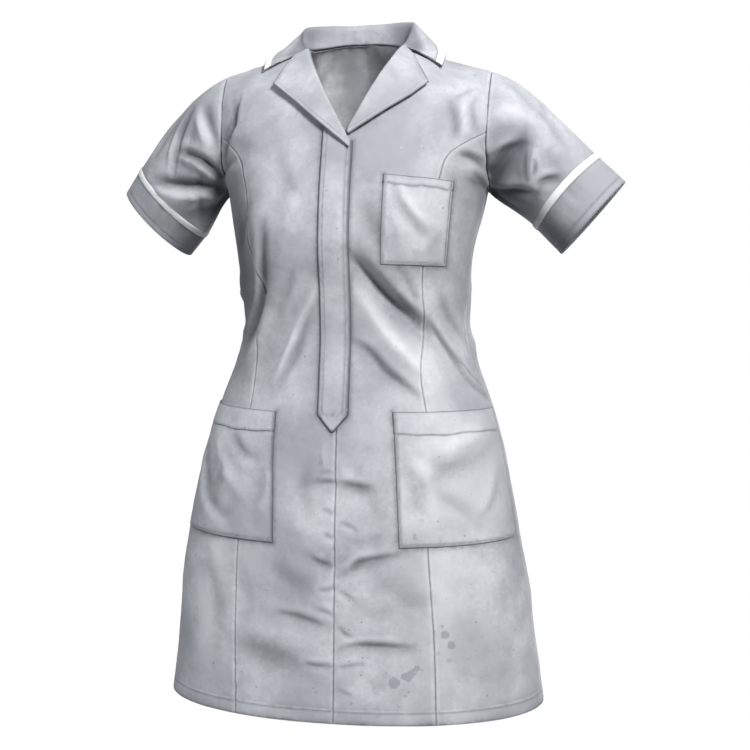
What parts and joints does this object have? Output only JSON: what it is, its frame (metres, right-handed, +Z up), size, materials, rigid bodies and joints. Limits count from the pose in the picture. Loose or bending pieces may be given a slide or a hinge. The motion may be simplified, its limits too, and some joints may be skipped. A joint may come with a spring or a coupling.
{
  "type": "nurse uniform dress",
  "caption": "Short-sleeved fitted uniform dress, worn and hollow, with collar, lapels, front placket, two hip pockets and a chest pocket",
  "frame": {"origin": "middle of the neck opening, level with the inner ends of the shoulder seams, where the wearer's shoulders or a hanger hold the dress", "axes": "+Z up along the body from hem to neck; -Y out of the front (placket, lapels and pockets); +X to the wearer's left"},
  "size_m": [0.7284, 0.3192, 0.9581],
  "materials": {
    "dress_cloth": "pale blue-grey polyester and cotton twill, matt, lightly creased",
    "white_tape": "white woven tape, matt"
  },
  "bodies": {
    "root": {"back": "dress_cloth", "front_left": "dress_cloth", "front_right": "dress_cloth", "side_front_left": "dress_cloth", "side_front_right": "dress_cloth", "placket": "dress_cloth", "lapel_left": "dress_cloth", "lapel_right": "dress_cloth", "collar": "dress_cloth", "collar_trim": "white_tape", "sleeve_left": "dress_cloth", "sleeve_right": "dress_cloth", "sleeve_tape_left": "white_tape", "sleeve_tape_right": "white_tape", "cuff_left": "dress_cloth", "cuff_right": "dress_cloth", "pocket_chest": "dress_cloth", "pocket_hip_left": "dress_cloth", "pocket_hip_right": "dress_cloth"}
  },
  "joints": []
}
